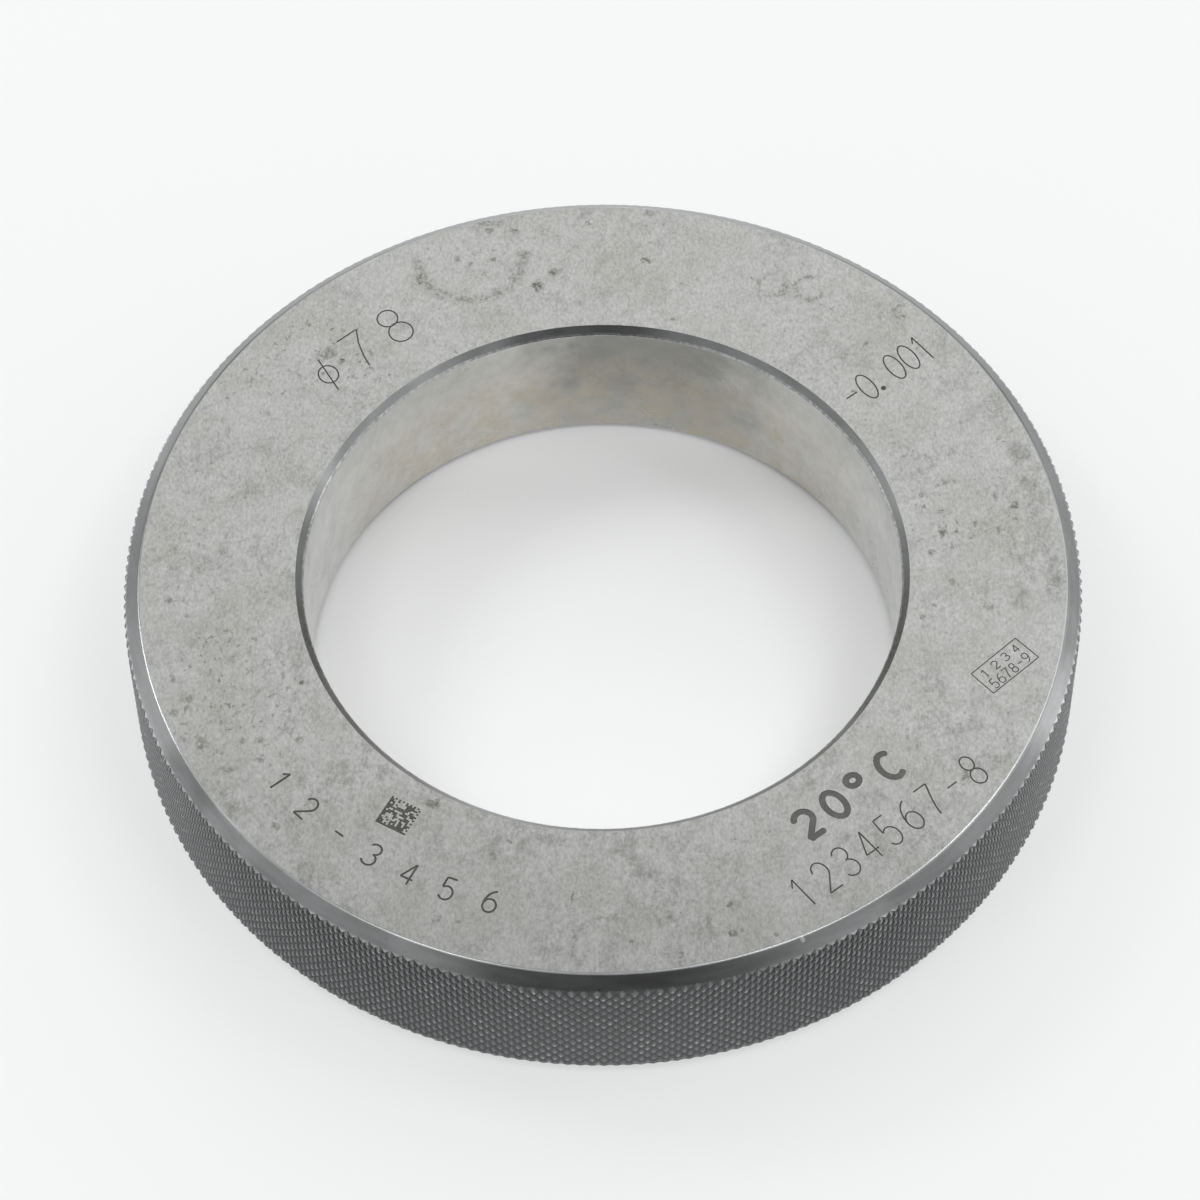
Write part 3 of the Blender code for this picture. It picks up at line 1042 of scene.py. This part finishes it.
class GAUGE_OT_finish_ring(bpy.types.Operator):
    """Give each surface of the ring its steel, and put the ring in the part's place"""

    bl_idname = "gauge.finish_ring"
    bl_label = "Finish the ring"

    def execute(self, context):
        sizes = context.scene.ring_shape
        finish = context.scene.ring_finish
        ring = bpy.data.objects[PIECE]
        for make_group in GROUPS:
            make_group()
        bore, outer = sizes.bore_diameter / 2, sizes.outer_diameter / 2
        ring.data.materials.clear()
        for material in (
                lapped_face(finish),
                turned_chamfer(
                    "rim_chamfer", finish.chamfer, 0.24, 0.16, finish, outer / MM, 0.5, RIM_PAINTED_LIGHT),
                knurled_rim(finish, sizes),
                lapped_bore(finish, sizes),
                turned_chamfer(
                    "bore_chamfer", finish.bore_chamfer, 0.22, 0.1, finish, bore / MM, 0.28, BORE_PAINTED_LIGHT),
                engraved_steel("engraved_steel", finish.engraving, finish),
                engraved_steel("bold_engraving", finish.bold, finish)):
            ring.data.materials.append(material)

        mouth = bore + sizes.bore_chamfer
        touch = outer - sizes.rim_chamfer - sizes.edge_radius * HALF_CHAMFER_TANGENT
        height = sizes.height
        bold_floor = height - context.scene.mark_shape.bold_depth
        points = [v.co for v in ring.data.vertices]
        for face in ring.data.polygons:
            corners = [points[i] for i in face.vertices]
            outermost = max(radius_of(c) for c in corners)
            if all(near(c.z, 0.0) for c in corners) or all(near(c.z, height) for c in corners):
                slot = FACE
            elif outermost < bore + SAME_PLACE * 2:
                slot = BORE_WALL
            elif outermost < mouth + SAME_PLACE * 2:
                slot = BORE_CHAMFER
            elif all(near(c.z, bold_floor) for c in corners):
                slot = BOLD_ENGRAVING
            elif outermost < touch - SAME_PLACE * 2:
                slot = ENGRAVING
            elif abs(face.normal.z) > STEEP_CHAMFER:
                slot = RIM_CHAMFER
            else:
                slot = KNURL
            face.material_index = slot

        def kind(face):
            """Flat face, cone, upright wall or none of them."""
            steep = abs(face.normal.z)
            return next((k for k in (1.0, math.sqrt(0.5), 0.0) if abs(steep - k) < SAME_SLOPE), None)

        def sharp_circle(edge):
            level = near(edge.verts[0].co.z, edge.verts[1].co.z)
            return level and len({kind(face) for face in edge.link_faces}) > 1

        edit(ring)
        pick(ring, "edges", sharp_circle)
        bpy.ops.mesh.mark_sharp()
        bpy.ops.object.mode_set(mode="OBJECT")
        bpy.ops.object.shade_smooth_by_angle(angle=SMOOTH_ANGLE, keep_sharp_edges=True)
        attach(ring, CAD_BODY)
        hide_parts(CAD_NODE)
        return {"FINISHED"}


# Stage

CAMERA_PLACE = (-0.000386, -0.34705, 0.52475)
CAMERA_ELEVATION_SINE = 0.8267
CAMERA_ELEVATION_COSINE = 0.5626
CAMERA_ROLL_COSINE = 0.99987
CAMERA_ROLL_SINE = -0.016213
CAMERA_LENS = 140.77
SENSOR_WIDTH = 36.0


def set_camera(scene):
    """The viewpoint, by its place, tilt and roll."""
    data = bpy.data.cameras.new("viewpoint")
    data.lens = CAMERA_LENS
    data.sensor_width = SENSOR_WIDTH
    data.clip_start = 0.01
    data.clip_end = 50.0
    camera = bpy.data.objects.new("viewpoint", data)
    scene.collection.objects.link(camera)
    s, c = CAMERA_ELEVATION_SINE, CAMERA_ELEVATION_COSINE
    cr, sr = CAMERA_ROLL_COSINE, CAMERA_ROLL_SINE
    turn = Matrix(((cr, -sr, 0.0), (sr * s, cr * s, -c), (sr * c, cr * c, s)))
    camera.rotation_euler = turn.to_euler()
    camera.location = CAMERA_PLACE
    scene.camera = camera


# Small lamps overhead: azimuth, elevation, and share of the lamps' power
OVERHEAD_LAMPS = ((12.0, 58.0, 0.9), (148.0, 43.0, 1.35), (-35.0, 66.0, 1.1), (215.0, 66.0, 0.9))
OVERHEAD_DISTANCE = 1.3
OVERHEAD_SIZE = 0.35
BACK_LAMP_PLACE = (0.25, 0.88, 0.92)
BACK_LAMP_SIZE = (1.4, 0.9)
# Light patches low in the room: azimuth, elevation, inner and outer radius, and share of the window
LOW_WINDOWS = (
    (12.0, 11.0, 2.0, 11.0, 2.7), (167.0, 11.0, 4.0, 18.0, 0.85), (334.0, 26.0, 8.0, 34.0, 0.25),
    (90.0, 15.0, 6.0, 21.0, 4.0),
)
# The room's dark side: azimuth, and where it starts to fade and ends, to the sides and upwards
DARK_SIDE = 272.0
DARK_HALF_WIDTH = (18.0, 42.0)
DARK_TOP = (38.0, 56.0)
DARK_SHARE = 0.9
# Where the floor in front turns dark to what mirrors it, in millimetres along Y
FRONT_EDGE = (-100.0, -150.0)
FLOOR_SIZE = 8.0
FLOOR_DEPTH = 0.00002           # below the ring, so that the two don't share a plane
FLOOR_ROUGHNESS = 0.6
FLOOR_SHINE = 0.2
BACKDROP = (0.92, 0.93, 0.935, 1.0)     # the room as the camera sees it


def add_lamp(scene, name, size, power, place):
    """A rectangular soft lamp that faces the ring."""
    data = bpy.data.lights.new(name, "AREA")
    data.shape = "RECTANGLE"
    data.size, data.size_y = size
    data.energy = power
    lamp = bpy.data.objects.new(name, data)
    scene.collection.objects.link(lamp)
    lamp.location = place
    lamp.rotation_euler = (-Vector(place)).to_track_quat("-Z", "Y").to_euler()


def set_world(scene, light):
    """A pale room, darker low down on the viewer's side, and white behind the floor."""
    world = bpy.data.worlds.new("pale_room")
    scene.world = world
    world.use_nodes = True
    world.node_tree.nodes.clear()
    graph = Graph(world.node_tree)
    facing = graph.add("ShaderNodeTexCoord").outputs["Generated"]
    x, y, z = graph.split(facing)
    level = graph.plus(light.surround, graph.ramp(z, 0.15, 0.85, 0.0, light.zenith))
    for azimuth, elevation, inner, outer, share in LOW_WINDOWS:
        towards = graph.dot(facing, direction(azimuth, elevation))
        patch = graph.ramp(towards, cosine(outer), cosine(inner))
        level = graph.math("MULTIPLY_ADD", patch, light.window * share, level)
    flat = graph.vector("NORMALIZE", graph.join(x, y, 0.0))
    across = graph.dot(flat, direction(DARK_SIDE))
    narrow = graph.ramp(across, cosine(DARK_HALF_WIDTH[1]), cosine(DARK_HALF_WIDTH[0]))
    low = graph.ramp(z, sine(DARK_TOP[1]), sine(DARK_TOP[0]))
    dark = graph.times(narrow, low, DARK_SHARE)
    level = graph.times(level, graph.minus(1.0, dark))
    room = graph.add("ShaderNodeBackground", {"Strength": level, "Color": WHITE})
    seen = graph.add("ShaderNodeBackground", {"Strength": 1.0, "Color": BACKDROP})
    path = graph.add("ShaderNodeLightPath").outputs["Is Camera Ray"]
    both = graph.add("ShaderNodeMixShader", {0: path, 1: room.outputs[0], 2: seen.outputs[0]})
    graph.add("ShaderNodeOutputWorld", {"Surface": both.outputs[0]})


def floor_material(light):
    """Pale floor, painted slightly lighter away from the ring: its shadows are lightened outside the ring
    and, less, inside the bore by its far wall, and its front edge is mirrored dark.
    """
    material, graph = new_material("pale_floor")
    shader = material.node_tree.nodes["Principled BSDF"]
    place = graph.place()
    radius = graph.length(place)
    y = graph.split(place)[1]
    path = graph.add("ShaderNodeLightPath").outputs
    # Painted light: the floor's colour grows slightly lighter away from the ring
    colour = graph.scaled(light.floor_colour, graph.ramp(radius, 60.0, 200.0, 1.0, 1.03))
    mirrored = graph.times(graph.ramp(y, *FRONT_EDGE), path["Is Glossy Ray"], DARK_SHARE)
    graph.feed(shader.inputs["Base Color"], graph.mix(mirrored, colour, BLACK))
    shader.inputs["Roughness"].default_value = FLOOR_ROUGHNESS
    shader.inputs["Specular IOR Level"].default_value = FLOOR_SHINE
    lit = graph.add("ShaderNodeEmission", {"Color": light.floor_colour, "Strength": 1.0})
    # Shade lightened outside the ring and, less, inside the bore by its far wall
    outside = graph.largest(graph.ramp(radius, 50.0, 62.0), graph.ramp(y, 26.0, 38.0, 0.0, 0.35))
    seen = graph.largest(path["Is Camera Ray"], path["Is Glossy Ray"])
    lift = graph.times(outside, graph.minus(1.0, mirrored), seen, light.floor_lift)
    mixed = graph.add("ShaderNodeMixShader", {0: lift, 1: shader.outputs[0], 2: lit.outputs[0]})
    graph.feed(material.node_tree.nodes["Material Output"].inputs["Surface"], mixed.outputs[0])
    return material


class GAUGE_OT_set_stage(bpy.types.Operator):
    """Set the floor, the lamps, the room and the viewpoint"""

    bl_idname = "gauge.set_stage"
    bl_label = "Set the stage"

    def execute(self, context):
        scene = context.scene
        light = scene.stage_light
        deselect_all()
        bpy.ops.mesh.primitive_plane_add(size=FLOOR_SIZE, location=(0.0, 0.0, -FLOOR_DEPTH))
        floor = context.active_object
        floor.name = floor.data.name = "floor"
        bpy.ops.object.transform_apply(location=True, rotation=True, scale=True)
        floor.data.materials.append(floor_material(light))
        set_world(scene, light)
        for number, (azimuth, elevation, share) in enumerate(OVERHEAD_LAMPS, 1):
            place = Vector(direction(azimuth, elevation)) * OVERHEAD_DISTANCE
            add_lamp(scene, f"overhead_lamp_{number}", (OVERHEAD_SIZE, OVERHEAD_SIZE),
                     light.overhead_lamp * share, place)
        add_lamp(scene, "back_lamp", BACK_LAMP_SIZE, light.back_lamp, BACK_LAMP_PLACE)
        set_camera(scene)
        scene.view_settings.view_transform = "Standard"
        return {"FINISHED"}


class GAUGE_PT_panel(bpy.types.Panel):
    """Steps and sizes of the ring gauge"""

    bl_label = "Ring gauge"
    bl_idname = "GAUGE_PT_panel"
    bl_space_type = "VIEW_3D"
    bl_region_type = "UI"
    bl_category = "Ring gauge"

    def draw(self, context):
        layout = self.layout
        for step in STEPS:
            layout.operator(step.bl_idname)
        for name, kind in SETTINGS.items():
            box = layout.box()
            box.label(text=kind.__doc__)
            for field in kind.__annotations__:
                box.prop(getattr(context.scene, name), field)


STEPS = (GAUGE_OT_turn_ring, GAUGE_OT_engrave, GAUGE_OT_knurl, GAUGE_OT_finish_ring, GAUGE_OT_set_stage)
SETTINGS = {
    "ring_shape": RingShape, "mark_shape": MarkShape, "ring_finish": RingFinish, "stage_light": StageLight,
}


def register():
    for kind in (*SETTINGS.values(), *STEPS, GAUGE_PT_panel):
        bpy.utils.register_class(kind)
    for name, kind in SETTINGS.items():
        setattr(bpy.types.Scene, name, PointerProperty(type=kind))


def unregister():
    for name in SETTINGS:
        delattr(bpy.types.Scene, name)
    for kind in reversed((*SETTINGS.values(), *STEPS, GAUGE_PT_panel)):
        bpy.utils.unregister_class(kind)


def main():
    register()
    bpy.ops.gauge.turn_ring()
    bpy.ops.gauge.engrave()
    bpy.ops.gauge.knurl()
    bpy.ops.gauge.finish_ring()
    bpy.ops.gauge.set_stage()


if __name__ == "__main__":
    main()
